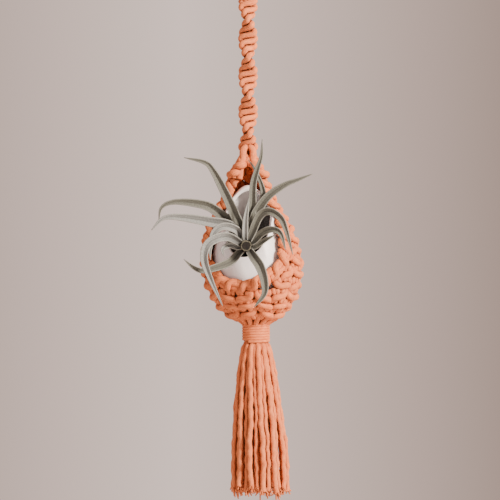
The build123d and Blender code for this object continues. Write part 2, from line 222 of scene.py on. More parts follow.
def cord_piece(name, cords, step=0.0006, sides=15, lay=0.016, depth=0.03, wobble=0.0, lump=0.03):
    """One mesh of three-ply cotton cords, each given as (line, radius, shade, turned).

    No operator sweeps a twisted section that swells, so the rings are worked out here.
    """
    plies, deepest = 3, 0.12
    swell_length, swell_turn, sway_length, swing_length = 0.0093, 1.7, 0.021, 0.017
    verts, faces, painted_groove_shades, shades, uvs = [], [], [], [], []
    start = 0
    round_way = np.arange(sides) / sides * 2 * pi
    for line, radius, shade, turned in cords:
        count = max(3, round(reach_along(line)[-1] / step) + 1)
        line, marks = even_line(line, count)
        across, through = line_frames(line)
        twist = round_way[None, :] - 2 * pi * marks[:, None] / lay + turned
        lobe = np.abs(np.cos(plies / 2 * twist))
        swell = 1 + lump * np.sin(2 * pi * marks / swell_length + swell_turn * turned)
        reach = radius * swell[:, None] * (1 - depth * (1 - lobe))
        line = line + wobble * wave(marks, turned, sway_length)[:, None] * across
        line = line + wobble * wave(marks, 2 * turned, swing_length)[:, None] * through
        ring = (
            line[:, None, :]
            + (reach * np.cos(round_way))[:, :, None] * across[:, None, :]
            + (reach * np.sin(round_way))[:, :, None] * through[:, None, :]
        )
        verts.append(ring.reshape(-1, 3))
        # Painted shade: how deep each point lies in a groove between the plies, for the cotton to darken it.
        painted_groove_shades.append(((1 - lobe) * depth / deepest).reshape(-1))
        shades.append(np.full(count * sides, shade))
        rows, spots = np.meshgrid(np.arange(count - 1), np.arange(sides), indexing="ij")
        here = start + rows * sides + spots
        there = start + rows * sides + (spots + 1) % sides
        faces += np.stack([here, there, there + sides, here + sides], axis=-1).reshape(-1, 4).tolist()
        girth = 2 * pi * radius / sides
        left, right = spots * girth, (spots + 1) * girth
        low, high = marks[rows], marks[rows + 1]
        corners = np.stack([left, low, right, low, right, high, left, high], axis=-1)
        uvs.append(corners.reshape(-1, 2))
        for place in (0, count - 1):
            ends = [start + place * sides + spot for spot in range(sides)]
            faces.append(ends[::-1] if place == 0 else ends)
            uvs.append(np.stack([reach[place] * np.cos(round_way), reach[place] * np.sin(round_way)], 1))
        start += count * sides
    mesh = bpy.data.meshes.new(name)
    mesh.from_pydata(np.concatenate(verts).tolist(), [], faces)
    mesh.uv_layers.new(name="cord").data.foreach_set("uv", np.concatenate(uvs).ravel())
    for attribute, values in (("painted_groove_shade", painted_groove_shades), ("shade", shades)):
        layer = mesh.attributes.new(attribute, "FLOAT", "POINT")
        layer.data.foreach_set("value", np.concatenate(values))
    mesh.shade_smooth()
    mesh.materials.append(brushed_cotton)
    piece = in_scene(name, mesh)
    return piece


def hanging_loop():
    cord, gap = 0.004, 0.0003
    leg = (cord + gap) / 2
    right = [
        (leg, 0, -0.0262), (leg, 0, -0.0215), (leg, 0, -0.0175), (0.0058, 0, -0.0125),
        (0.0078, 0, -0.0065), (0.0077, 0, -0.0005), (0.0045, 0, 0.0024),
    ]
    dip = (-0.0002, 0, 0.0016)
    route = right + [dip] + [(-x, y, z) for x, y, z in right[::-1]]
    line = smooth_line(route)
    piece = cord_piece("loop_cord", [(line, cord / 2, 0.1, 0.0)])
    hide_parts("hanging_loop")
    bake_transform(piece)


hanging_loop()


# Sinnet fillers: two cords of the same cotton that go on from the loop down the middle, and carry
# the load. They show only where the working cords part, and twist on into the pod as it turns.
sinnet_twist = pi / 0.0264
sinnet_widest = -0.0578


def in_sinnet(across, through, height):
    """A place beside the sinnet's middle, turned as the sinnet is at that height."""
    turn = sinnet_twist * (sinnet_widest - height)
    return (across * cos(turn) - through * sin(turn), across * sin(turn) + through * cos(turn), height)


def sinnet_fillers():
    cord, count = 0.0034, 56
    foot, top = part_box("filler_cord_left")
    cords = []
    for side in (-1, 1):
        route = [in_sinnet(side * cord / 2, 0, height) for height in np.linspace(top.z, foot.z, count)]
        cords.append((smooth_line(route, fineness=4), cord / 2, 0.6, 0.0))
    piece = cord_piece("filler_cords", cords)
    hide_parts("filler_cord_left", "filler_cord_right")
    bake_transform(piece)


sinnet_fillers()


# Working cords: two cotton cords tied round the fillers in one half knot after another, which makes
# the spiral. Each lies over the front as a bar, turns down round the other at the side, and goes behind.
def working_cords():
    cord = 0.0043
    foot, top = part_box("working_cord_first")
    half_knots = 24
    knot = (top.z - foot.z - cord) / half_knots
    edge, front = 0.0050, 0.0018
    turn_shares = [
        (1.00, 0.10, 0.00), (0.98, -0.45, 0.15), (0.55, -1.05, 0.32), (0.00, -1.25, 0.46),
        (-0.55, -1.05, 0.60), (-0.98, -0.45, 0.78), (-1.08, 0.10, 1.05), (-0.98, 0.55, 1.26),
        (-0.55, 1.05, 1.38), (0.00, 1.20, 1.50), (0.55, 1.05, 1.62), (0.98, 0.55, 1.76),
    ]
    for lead, name in ((1, "working_cord_first"), (-1, "working_cord_second")):
        route = []
        for turn in range(half_knots // 2):
            for across, through, drop in turn_shares:
                height = top.z - cord / 2 - knot * (2 * turn + drop)
                route.append(in_sinnet(lead * across * edge, lead * through * front, height))
        cords = [(smooth_line(route, fineness=6), cord / 2, 0.0, lead)]
        piece = cord_piece("sinnet_" + name, cords, sides=18)
        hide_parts(name)
        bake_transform(piece)


working_cords()


# Crown: the cotton cords part under the sinnet's last knot and run down like the ribs of a tent.
# The front two lie side by side and then part, which is the tip of the pod's opening.
def crown():
    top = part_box("crown_knot")[1].z
    rib_radius, front_radius = 0.0022, 0.0026
    ribs, gap = 13, radians(36)
    rib_shape = [
        (0.0024, 0.0035), (0.0050, -0.0012), (0.0072, -0.0045), (0.0088, -0.0085), (0.0104, -0.0160),
    ]
    front_shape = [
        (0.0012, -0.0026, 0.0070), (0.0034, -0.0048, 0.0056), (0.0036, -0.0062, 0.0010),
        (0.0034, -0.0070, -0.0030), (0.0058, -0.0080, -0.0065), (0.0092, -0.0076, -0.0095),
        (0.0106, -0.0074, -0.0150),
    ]
    hitch_shape = [
        (-0.0026, -0.0050, 0.0010), (-0.0028, -0.0080, 0.0008), (0.0, -0.0108, 0.0002),
        (0.0032, -0.0084, -0.0008), (0.0034, -0.0050, -0.0010),
    ]
    hitches = ((0.0054, 0.0064, 5.76), (0.0096, 0.0118, 10.62))
    cords = []
    for number, turn in enumerate(np.linspace(gap, 2 * pi - gap, ribs) - pi / 2):
        route = [(out * cos(turn), out * sin(turn), top + up) for out, up in rib_shape]
        cords.append((smooth_line(route, fineness=8), rib_radius, 0.15, number))
    for side in (-1, 1):
        route = [(side * aside, out, top + up) for aside, out, up in front_shape]
        cords.append((smooth_line(route, fineness=8), front_radius, 0.0, side))
        for middle, drop, turned in hitches:
            route = [(side * (middle + aside), out, top - drop + up) for aside, out, up in hitch_shape]
            cords.append((smooth_line(route, fineness=6), front_radius, 0.1, turned))
    piece = cord_piece("crown_cords", cords)
    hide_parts("crown_knot")
    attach(piece, "pod")


crown()


# Pod wall: rows of knots in soft cotton cord, and a border of smaller ones along the opening's edge.
# In a knot one cord lies over a pair of others as a bar, and a fourth crosses behind them.
row_names = sorted(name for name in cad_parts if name.startswith("knot_row_"))


def along_points(points, count):
    """A smooth curve through these points, at even steps along it."""
    fineness = 12
    points = np.array(points)
    padded = np.vstack([2 * points[0] - points[1], points, 2 * points[-1] - points[-2]])
    t = np.linspace(0, 1, fineness, endpoint=False)[:, None]
    pieces = []
    for before, here, there, after in zip(padded, padded[1:], padded[2:], padded[3:]):
        bend = 2 * before - 5 * here + 4 * there - after
        turn = 3 * here - before - 3 * there + after
        pieces.append(0.5 * (2 * here + (there - before) * t + bend * t**2 + turn * t**3))
    return even_line(np.vstack(pieces + [points[-1:]]), count)


def wall_knot():
    """A knot's cords, each a line (across, up and out) and its radius, in metres."""
    mm, thick, thin = 0.001, 0.0024, 0.0021
    bar = [
        (-4.6, 5.2, -0.6), (-5.0, 2.8, 0.7), (-3.6, 0.8, 2.2), (0, 0.1, 2.9), (3.6, -0.6, 2.2),
        (5.0, -2.6, 0.7), (4.6, -5.2, -0.6),
    ]
    under = [
        (4.6, 5.2, -0.8), (5.1, 2.9, 0.6), (3.6, 1.0, -0.7), (0, 0, -1.5), (-3.6, -1.0, -0.7),
        (-5.1, -2.9, 0.6), (-4.6, -5.2, -0.8),
    ]
    filler = [(2.7, 5.8, 0.6), (2.0, 3.2, 1.2), (1.7, 0, -0.4), (2.0, -3.2, 1.2), (2.7, -5.8, 0.6)]
    other_filler = [(-across, up, out) for across, up, out in filler]
    pairs = ((bar, thick), (under, thin), (other_filler, thin), (filler, thin))
    return [(smooth_line(points, fineness=5) * mm, radius) for points, radius in pairs]


class Wall:
    """The middle of the pod's wall: places by their distance down it and their angle round it."""

    def __init__(self, thickness):
        beyond = 0.014
        boxes = [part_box(name) for name in row_names]
        heights = np.array([(low.z + high.z) / 2 for low, high in boxes])
        centres = np.array([(low.x + high.x) / 2 for low, high in boxes])
        radii = np.array([high.y - thickness / 2 for _, high in boxes])
        self.rows = reach_along(np.stack([heights, radii], axis=1))
        self.reach = np.concatenate([[-beyond], self.rows, [self.rows[-1] + beyond]])
        first_share = beyond / self.rows[1]
        last_share = beyond / (self.rows[-1] - self.rows[-2])
        self.heights, self.centres, self.radii = (
            np.concatenate(
                [
                    [values[0] - (values[1] - values[0]) * first_share],
                    values,
                    [values[-1] + (values[-1] - values[-2]) * last_share],
                ]
            )
            for values in (heights, centres, radii)
        )

    def at(self, down):
        """The wall's radius, height and middle at this distance down it."""
        least = 0.004
        radius = np.maximum(np.interp(down, self.reach, self.radii), least)
        return radius, np.interp(down, self.reach, self.heights), np.interp(down, self.reach, self.centres)

    def place(self, down, turn, spot):
        """A knot's points (across, up and out), laid on the wall about this place."""
        near, least = 0.002, 0.006
        marks = down - spot[:, 1]
        radius, height, centre = self.at(marks)
        above, below = self.at(marks - near), self.at(marks + near)
        slope_r, slope_z = below[0] - above[0], below[1] - above[1]
        size = np.hypot(slope_r, slope_z)
        ring = radius - slope_z / size * spot[:, 2]
        angle = turn + spot[:, 0] / np.maximum(radius, least)
        lift = slope_r / size * spot[:, 2]
        return np.stack([centre + ring * np.cos(angle), ring * np.sin(angle), height + lift], axis=1)


def opening_edge(wall):
    """The opening's middle direction, and its outline on the wall, down its right side and up its left."""
    slant, middle_x = radians(13), 0.0057 / 4
    top, long, half, fineness = -0.1471, 0.0840, 0.026, 400
    shares = [
        (0.00, 0.00), (0.05, 0.20), (0.12, 0.31), (0.23, 0.45), (0.38, 0.67), (0.50, 0.87), (0.63, 0.98),
        (0.74, 1.00), (0.84, 0.92), (0.93, 0.62), (0.98, 0.30), (1.00, 0.00),
    ]
    right = [(wide * half, 0, top - down * long) for down, wide in shares]
    left = [(-x, 0, z) for x, _, z in right[-2::-1]]
    line, _ = along_points(right + left, fineness)
    downs = np.interp(-line[:, 2], -wall.heights, wall.reach)
    radius, _, centre = wall.at(downs)
    aside = (line[:, 0] - (centre - middle_x) * cos(slant)) / radius
    return -pi / 2 - slant, downs, -slant - np.arccos(np.clip(aside, -1, 1)), radius


def border_places(edge):
    """Where the border's knots lie, down the wall and round it, and how far each tilts along the edge."""
    step, offset, end, reach = 0.0082, 0.0036, 0.0035, 6
    _, edge_downs, edge_turns, edge_radii = edge
    steps_across = edge_radii[1:] * np.diff(edge_turns)
    steps_up = -np.diff(edge_downs)
    marks = np.concatenate([[0], np.cumsum(np.hypot(steps_across, steps_up))])
    places = []
    for mark in np.linspace(end, marks[-1] - end, round((marks[-1] - end) / step)):
        place = min(int(np.searchsorted(marks, mark)), len(steps_up) - 1)
        near = slice(max(place - reach, 0), place + reach + 1)
        across, up = steps_across[near].sum(), steps_up[near].sum()
        size = np.hypot(across, up)
        across, up = across / size, up / size
        down = edge_downs[place] - across * offset
        turn = edge_turns[place] - up * offset / edge_radii[place]
        places.append((down, turn, float(np.arctan2(-across, up))))
    return places


def row_places(wall, edge, row):
    """Where a row's knots lie round the wall, clear of the border, and how wide each is."""
    knot_width, widest_share, border_width = 0.0122, 1.12, 0.0098
    front, edge_downs, edge_turns, _ = edge
    down = wall.rows[row]
    radius = float(wall.at(down)[0])
    offsets = np.linspace(0, 2 * pi, 721)
    aside = np.mod(edge_turns[:, None] - front - offsets + pi, 2 * pi) - pi
    free = np.hypot(edge_downs[:, None] - down, radius * aside).min(axis=0) > border_width
    crossed = edge_turns[:-1][np.diff(np.sign(edge_downs - down)) != 0] - front
    if len(crossed):
        free &= (offsets > crossed.max()) & (offsets < 2 * pi + crossed.min())
    begin, end = offsets[free][[0, -1]]
    count = max(1, round((end - begin) * radius / knot_width))
    stagger = 0.5 if free.all() else 0.25
    shift = 0.5 + (stagger if row % 2 else -stagger)
    turns = [front + begin + (end - begin) * (number + shift) / count for number in range(count)]
    return turns, min((end - begin) * radius / count / knot_width, widest_share)


def pod_wall():
    loose_tilt, loose_place, loose_size = 0.14, 0.0004, 0.05
    worn, worn_spread, most_worn = 0.12, 0.14, 0.5
    border_wide, border_tall = 0.60, 1.08
    wall = Wall(thickness=0.0094)
    edge = opening_edge(wall)
    chance = np.random.default_rng(7)
    knot_lines = wall_knot()
    cords = {name: [] for name in row_names}

    def tie(down, turn, tilt, wide, tall, side):
        """One knot, a little loose and uneven, given to the row that it lies in."""
        tilt += chance.normal(0, loose_tilt)
        shift = chance.normal(0, loose_place, 3)
        grow = 1 + chance.normal(0, loose_size)
        shade = float(np.clip(chance.normal(worn, worn_spread), 0, most_worn))
        name = row_names[int(np.argmin(np.abs(wall.rows - down)))]
        for line, radius in knot_lines:
            across, up, out = (line * grow * (side * wide, tall, 1)).T
            turned = (across * cos(tilt) - up * sin(tilt), across * sin(tilt) + up * cos(tilt), out)
            spot = np.stack(turned, axis=1) + shift
            cords[name].append((wall.place(down, turn, spot), radius, shade, chance.uniform(0, 6)))

    for down, turn, tilt in border_places(edge):
        tie(down, turn, tilt, border_wide, border_tall, 1)
    for row, down in enumerate(wall.rows):
        turns, wide = row_places(wall, edge, row)
        for number, turn in enumerate(turns):
            tie(down, turn, 0.0, wide, 1.0, 1 if (row + number) % 2 else -1)
    for name in row_names:
        piece = cord_piece("knots_" + name[-2:], cords[name], step=0.0012, sides=12, depth=0.02)
        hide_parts(name)
        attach(piece, "pod")


pod_wall()


# Gathered cords: the pod's cotton cords drawn together, running in from its last knots and down
# in the wrap. They hold the tassel, and show as short folds above the wrap.
def gathered_cords():
    low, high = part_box("gathered_cords")
    middle_x = (low.x + high.x) / 2
    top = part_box("gathering_wrap")[1].z
    count, twist, radius = 14, 30, 0.0021
    shape = [
        (0.0175, 0.0085), (0.0160, 0.0055), (0.0125, 0.0020), (0.0078, -0.0010), (0.0064, -0.0060),
        (0.0062, -0.0170),
    ]
    cords = []
    for number in range(count):
        turn = 2 * pi * (number + 0.5) / count
        route = [
            (middle_x + out * cos(turn + up * twist), out * sin(turn + up * twist), top + up)
            for out, up in shape
        ]
        cords.append((smooth_line(route, fineness=8), radius, 0.1, number))
    piece = cord_piece("gathered_bundle", cords)
    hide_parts("gathered_cords")
    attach(piece, "pod")


gathered_cords()


# Gathering wrap: one thin cotton cord wound tightly round the gathered cords, six turns and a bit.
# Its end is tucked in behind, so that it holds by itself.
def wrap():
    low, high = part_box("gathering_wrap")
    middle = (low + high) / 2
    cord, proud = 0.0025, 0.0002
    turns, around = 6.6, 14
    radius = (high.x - low.x) / 2 - cord / 2 + proud
    route = []
    for share in np.linspace(0, 1, round(turns * around) + 1):
        turn = 2 * pi * turns * share
        height = high.z - cord / 2 - (high.z - low.z - cord) * share
        route.append((middle.x + radius * sin(turn), radius * cos(turn), height))
    piece = cord_piece("wrap_cord", [(smooth_line(route, fineness=5), cord / 2, 0.0, 0.0)], depth=0.01)
    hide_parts("gathering_wrap")
    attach(piece, "pod")


wrap()


# Tassel: cut cotton cords that hang free under the wrap, each a little wavy and of its own length.
# Twenty follow the CAD routes, and eighteen more fill the space between and behind them.
def tassel():
    cord, gap, room = 0.0038, 0.0003, 1.05
    middle_x, swing = 0.0057, -0.2679
    length, spread, drift, bend = 0.107, 0.0194, 0.003, 0.0009
    wrap_radius, swing_depth, dome_gap = 0.01, 0.007, 0.0006
    inner, outer = room * (cord + gap), room * (cord + gap) * 13 / (2 * pi)
    dome = (wrap_radius**2 + swing_depth**2) ** 0.5 + dome_gap
    top = swing - (dome**2 - (outer + cord / 2) ** 2) ** 0.5
    cad_strands, hairs = 20, 9
    hair_radius, hair_spread, hair_root, hair_least, hair_most = 0.0005, 0.0011, 0.002, 0.0006, 0.0018
    shares = [
        (1.00, 0.3, -0.5), (0.97, -0.4, 0.3), (0.99, 0.5, 0.4), (0.98, -0.5, -0.3), (1.00, 0.4, -0.4),
        (0.96, -0.3, 0.5), (0.99, 0.5, 0.3), (0.99, 0.9, -0.4), (0.96, -0.7, 0.6), (0.97, 0.6, 0.8),
        (0.95, -0.9, -0.5), (0.98, 0.8, 0.4), (1.00, -0.6, 0.7), (0.97, 0.9, -0.6), (0.99, -0.8, -0.4),
        (0.95, 0.5, 0.9), (0.96, -0.9, 0.5), (0.98, 0.7, -0.8), (1.00, -0.5, -0.7), (0.97, 0.8, 0.6),
        (0.97, 0.6, 0.3), (0.98, -0.5, 0.4), (0.96, 0.7, -0.6), (0.99, -0.4, 0.8), (0.95, 0.5, 0.5),
        (0.98, -0.7, -0.3), (0.97, 0.4, 0.7), (0.96, -0.6, 0.6), (0.99, 0.7, 0.4), (0.95, -0.8, 0.6),
        (0.98, 0.5, -0.7), (0.96, -0.6, -0.5), (0.99, 0.8, 0.5), (0.97, 0.4, 0.5), (0.96, -0.5, 0.4),
        (0.98, 0.6, -0.3), (0.97, -0.4, -0.6), (0.96, 0.5, 0.6),
    ]
    rings = (
        (1, 0.0, 0), (6, inner, 0), (13, outer, 0), (13, 0.86 * outer, 0.5), (5, 0.66 * outer, 0.4),
    )
    feet = [
        (ring * cos(2 * pi * (place + begin) / count), ring * sin(2 * pi * (place + begin) / count))
        for count, ring, begin in rings
        for place in range(count)
    ]
    down_shares = (
        (-0.045, -0.62, 0.0, 0.0), (0.0, 0.0, 0.0, 0.0), (0.22, 0.36, 0.16, 0.5), (0.5, 0.74, 0.60, -1.0),
        (0.76, 0.92, 0.84, 1.4), (1.0, 1.0, 1.0, -0.6),
    )
    chance = np.random.default_rng(3)
    grown = spread / outer - 1
    tufts = []
    for number, ((x, y), (long, sway, swing_share)) in enumerate(zip(feet, shares), 1):
        route = [
            (
                middle_x + x * (1 + grown * wide) + drift * along + bend * sway * bow,
                y * (1 + grown * wide) + bend * swing_share * bow,
                top - length * long * down,
            )
            for down, wide, along, bow in down_shares
        ]
        line = smooth_line(route, fineness=24)
        shade, turned = float(chance.uniform(0, 0.3)), float(chance.uniform(0, 6))
        piece = cord_piece(
            f"strand_{number:02d}", [(line, cord / 2, shade, turned)], step=0.0008,
            lay=0.026, depth=0.05, wobble=0.00025, lump=0.05,
        )
        if number <= cad_strands:
            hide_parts(f"tassel_strand_{number:02d}")
        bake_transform(piece)
        end, way = line[-1], (line[-1] - line[-12]) / np.linalg.norm(line[-1] - line[-12])
        for _ in range(hairs):
            out = chance.normal(0, hair_spread, 3)
            root = end - way * hair_root + out * 0.8
            tip = end + way * chance.uniform(hair_least, hair_most) + out * 1.5
            tufts.append((np.array([root, end + out, tip]), hair_radius, 0.1, 0.0))
    piece = cord_piece("frayed_ends", tufts, step=0.0015, sides=6, depth=0.0)
    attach(piece, "tassel")


tassel()


# Egg cup: a thin egg of white glazed earthenware, cast, with an oval mouth in its front.
# It sits loose in the pod and leans as the pod does. Its inside has painted shade, darker downwards and to
# the right, where the plant keeps the light off it.
def made(name, work, *materials):
    """The bmesh as a smooth piece in the scene, with these materials."""
    mesh = bpy.data.meshes.new(name)
    work.to_mesh(mesh)
    work.free()
    mesh.shade_smooth()
    for material in materials:
        mesh.materials.append(material)
    return in_scene(name, mesh)


def glazed_earthenware(name, light, dark):
    """White glaze: even and half glossy, with a fine pale speckle, and painted shade from the light to the
    dark colour, downwards and to the right.
    """
    grain = 0.0011
    darkest, lightest = -0.193, -0.168
    material, tree, shader = new_material(name)
    place = add_node(tree, "ShaderNodeTexCoord", give="Object")
    speckle = add_node(tree, "ShaderNodeTexNoise", {"Vector": place, "Scale": 1 / grain, "Detail": 3})
    speckle = add_node(tree, "ShaderNodeValToRGB", {"Fac": speckle}, stops=((0.45, 0.0), (0.8, 0.25)))
    # Painted shade: the tone goes from light to dark as the height less the distance to the right falls.
    up_left = add_node(tree, "ShaderNodeVectorMath", {0: place, 1: (-1, 0, 1)}, operation="DOT_PRODUCT")
    depth = add_node(
        tree, "ShaderNodeMapRange", {"Value": up_left, "From Min": darkest, "From Max": lightest}
    )
    tone = add_node(tree, "ShaderNodeMix", {"Factor": depth, "A": dark, "B": light}, data_type="RGBA")
    tone = add_node(
        tree, "ShaderNodeMix", {"Factor": speckle, "A": tone, "B": "E9E4E4"}, data_type="RGBA"
    )
    tree.links.new(tone, shader.inputs["Base Color"])
    shader.inputs["Roughness"].default_value = 0.42
    return material


def cup():
    middle, lean = np.array([0.00275, 0, -0.224]), np.array([-0.0057, 0, 0.1178])
    wide, above, below, wall = 0.0282, 0.0620, 0.0280, 0.0024
    mouth, half_width, half_height = np.array([0.00275, 0, -0.189]), 0.0170, 0.0245
    heart_drop, far_off, halvings = 0.008, 0.12, 40
    rim_round, rim_angle = 0.4 * wall, radians(50)
    slant = radians(13)
    front, aside = np.array([-sin(slant), -cos(slant), 0]), np.array([cos(slant), -sin(slant), 0])
    axis = lean / np.linalg.norm(lean)
    heart = mouth - np.array([0, 0, heart_drop])
    bow = np.linspace(0, 1, 60)[:, None]
    lower = ((0, -below), (0.55 * wide, -below), (wide, -0.55 * below), (wide, 0))
    upper = ((wide, 0), (wide, 0.44 * above), (0.44 * wide, above), (0, above))
    weights = np.hstack([(1 - bow) ** 3, 3 * bow * (1 - bow) ** 2, 3 * bow**2 * (1 - bow), bow**3])
    outline = np.vstack([weights @ np.array(handles) for handles in (lower, upper)])

    def cast(start, ways):
        """Where lines from the start along these ways meet the egg."""
        near, far = np.zeros(len(ways)), np.full(len(ways), far_off)
        for _ in range(halvings):
            half = (near + far) / 2
            places = start + half[:, None] * ways - middle
            rise = places @ axis
            spread = np.linalg.norm(places - rise[:, None] * axis, axis=1)
            beyond = spread > np.interp(rise, outline[:, 1], outline[:, 0], left=-1, right=-1)
            near, far = np.where(beyond, near, half), np.where(beyond, half, far)
        return start + near[:, None] * ways

    rings = 44
    work = bmesh.new()
    bmesh.ops.create_uvsphere(work, u_segments=96, v_segments=rings, radius=1)
    cap = [vertex for vertex in work.verts if vertex.co.z > cos(pi / rings / 2)]
    bmesh.ops.delete(work, geom=cap, context="VERTS")
    places = np.array([vertex.co for vertex in work.verts])
    turns = np.arctan2(places[:, 1], places[:, 0])
    shares = (np.arccos(np.clip(places[:, 2], -1, 1)) * rings / pi - 1) / (rings - 1)
    up = np.array([0, 0, half_height])
    oval = half_width * np.cos(turns)[:, None] * aside + np.sin(turns)[:, None] * up
    ways = cast(mouth + oval, np.broadcast_to(front, oval.shape)) - heart
    ways /= np.linalg.norm(ways, axis=1)[:, None]
    across = ways - (ways @ front)[:, None] * front
    across /= np.linalg.norm(across, axis=1)[:, None]
    first = np.arccos(ways @ front)
    angles = first + (pi - first) * shares
    ways = np.cos(angles)[:, None] * front + np.sin(angles)[:, None] * across
    for vertex, place in zip(work.verts, cast(heart, ways)):
        vertex.co = place
    outside = glazed_earthenware("glazed_earthenware", "FDFBFC", "FDFBFC")
    # The inside has painted shade, down to a dark grey.
    inside = glazed_earthenware("glazed_earthenware_painted_shade", "FDFBFC", "4A4645")
    piece = made("egg_shell", work, outside, inside)
    shell = piece.modifiers.new("wall", "SOLIDIFY")
    shell.thickness = wall
    shell.offset = -1
    shell.material_offset = 1
    rim = piece.modifiers.new("rim", "BEVEL")
    rim.width = rim_round
    rim.segments = 4
    rim.limit_method = "ANGLE"
    rim.angle_limit = rim_angle
    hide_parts("egg_cup")
    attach(piece, "pod")


cup()


# Air plant: a short stem that leans out of the cup, and fifteen channelled silver-green leaves.
# Each leaf grows from the stem along its CAD midrib, hollow towards the viewer, and ends in a thread.
def scaly_leaf(name, light, middle, dark):
    """Air plant leaf: dull and powdery from its silver scales, streaked, dark at its foot, and with painted
    shade along its channel.
    """
    streak_shares, scale_size, scale_depth = (14, 90, 1), 0.000385, 0.0002
    material, tree, shader = new_material(name)
    surface = add_node(tree, "ShaderNodeUVMap", uv_map="leaf")
    across = add_node(tree, "ShaderNodeSeparateXYZ", {"Vector": surface}, give="X")
    along = add_node(tree, "ShaderNodeSeparateXYZ", {"Vector": surface}, give="Y")
    stretched = add_node(tree, "ShaderNodeMapping", {"Vector": surface, "Scale": streak_shares})
    streaks = add_node(tree, "ShaderNodeTexNoise", {"Vector": stretched, "Scale": 1, "Detail": 5})
    place = add_node(tree, "ShaderNodeTexCoord", give="Object")
    scales = add_node(
        tree, "ShaderNodeTexNoise", {"Vector": place, "Scale": 1 / scale_size, "Detail": 2}
    )
    tone = middle
    # The second share is painted shade, darkest along the middle of the leaf's channel.
    for value, stops, tint in (
        (streaks, ((0.3, 0.0), (0.7, 1.0)), light),
        (across, ((0.34, 0.0), (0.5, 0.6), (0.66, 0.0)), dark),
        (along, ((0.0, 0.85), (0.22, 0.0)), dark),
        (across, ((0.0, 0.45), (0.09, 0.0), (0.91, 0.0), (1.0, 0.45)), "A9ABA2"),
    ):
        share = add_node(tree, "ShaderNodeValToRGB", {"Fac": value}, stops=stops)
        tone = add_node(tree, "ShaderNodeMix", {"Factor": share, "A": tone, "B": tint}, data_type="RGBA")
    tree.links.new(tone, shader.inputs["Base Color"])
    bump = add_node(tree, "ShaderNodeBump", {"Height": scales, "Strength": 0.4, "Distance": scale_depth})
    tree.links.new(bump, shader.inputs["Normal"])
    shader.inputs["Roughness"].default_value = 0.75
    shader.inputs["Sheen Weight"].default_value = 0.1
    return material


def dry_leaf_base(name, dark, light):
    """Dried leaf bases: matt and mottled."""
    fleck = 0.00143
    material, tree, shader = new_material(name)
    place = add_node(tree, "ShaderNodeTexCoord", give="Object")
    flecks = add_node(tree, "ShaderNodeTexNoise", {"Vector": place, "Scale": 1 / fleck, "Detail": 4})
    share = add_node(tree, "ShaderNodeValToRGB", {"Fac": flecks}, stops=((0.4, 0.0), (0.7, 1.0)))
    tone = add_node(tree, "ShaderNodeMix", {"Factor": share, "A": dark, "B": light}, data_type="RGBA")
    tree.links.new(tone, shader.inputs["Base Color"])
    shader.inputs["Roughness"].default_value = 0.9
    return material


# Each leaf's width, and its midrib's points aside, towards the viewer and up from the plant's heart,
# all as shares of the plant's spread.
leaf_shares = [
    (0.056, [
        (0.021, 0.068, 0.071), (0.043, 0.085, 0.257), (0.050, 0.100, 0.428), (0.079, 0.115, 0.540),
        (0.107, 0.125, 0.630), (0.114, 0.140, 0.750),
    ]),
    (0.046, [
        (0.043, 0.042, 0.100), (0.086, 0.050, 0.243), (0.120, 0.055, 0.350), (0.107, 0.060, 0.435),
        (0.057, 0.065, 0.550), (0.014, 0.070, 0.607),
    ]),
    (0.064, [
        (0.036, 0.095, 0.129), (0.079, 0.100, 0.243), (0.157, 0.110, 0.350), (0.271, 0.120, 0.428),
        (0.364, 0.125, 0.465), (0.471, 0.130, 0.507),
    ]),
    (0.056, [
        (0.043, 0.125, 0.093), (0.093, 0.150, 0.207), (0.157, 0.180, 0.243), (0.236, 0.210, 0.200),
        (0.278, 0.230, 0.114), (0.328, 0.240, -0.064),
    ]),
    (0.050, [
        (0.057, 0.075, 0.036), (0.114, 0.090, 0.093), (0.185, 0.120, 0.116), (0.244, 0.140, 0.083),
        (0.278, 0.150, -0.029),
    ]),
    (0.040, [(0.057, 0.042, -0.007), (0.136, 0.050, 0.043), (0.204, 0.060, 0.076)]),
    (0.066, [
        (0.029, 0.135, -0.043), (0.064, 0.155, -0.093), (0.100, 0.170, -0.150), (0.129, 0.180, -0.250),
        (0.126, 0.175, -0.340), (0.057, 0.160, -0.430),
    ]),
    (0.056, [
        (-0.057, 0.060, -0.057), (-0.114, 0.085, -0.114), (-0.228, 0.130, -0.157), (-0.310, 0.155, -0.174),
        (-0.371, 0.160, -0.150), (-0.436, 0.160, -0.093),
    ]),
    (0.044, [
        (-0.057, 0.086, -0.007), (-0.114, 0.105, 0.006), (-0.164, 0.122, -0.022), (-0.156, 0.126, -0.074),
    ]),
    (0.060, [
        (-0.043, 0.136, 0.021), (-0.114, 0.160, 0.060), (-0.193, 0.190, 0.057), (-0.271, 0.210, 0.007),
        (-0.293, 0.215, -0.093), (-0.250, 0.195, -0.230), (-0.164, 0.155, -0.421),
    ]),
    (0.054, [
        (-0.029, 0.110, 0.057), (-0.071, 0.130, 0.114), (-0.161, 0.150, 0.136), (-0.228, 0.165, 0.086),
        (-0.250, 0.170, -0.020), (-0.250, 0.170, -0.100),
    ]),
    (0.072, [
        (-0.050, 0.083, 0.071), (-0.114, 0.092, 0.140), (-0.228, 0.105, 0.165), (-0.450, 0.125, 0.200),
        (-0.580, 0.135, 0.194), (-0.664, 0.140, 0.110),
    ]),
    (0.070, [
        (-0.043, 0.024, 0.086), (-0.080, 0.035, 0.140), (-0.171, 0.050, 0.215), (-0.286, 0.065, 0.286),
        (-0.493, 0.085, 0.310), (-0.593, 0.090, 0.271), (-0.614, 0.095, 0.178),
    ]),
    (0.068, [
        (-0.014, 0.050, 0.090), (-0.064, 0.070, 0.185), (-0.143, 0.090, 0.360), (-0.228, 0.110, 0.521),
        (-0.290, 0.110, 0.586), (-0.436, 0.110, 0.621),
    ]),
    (0.040, [(-0.007, 0.140, 0.080), (-0.002, 0.145, 0.200), (0.021, 0.150, 0.336)]),
]


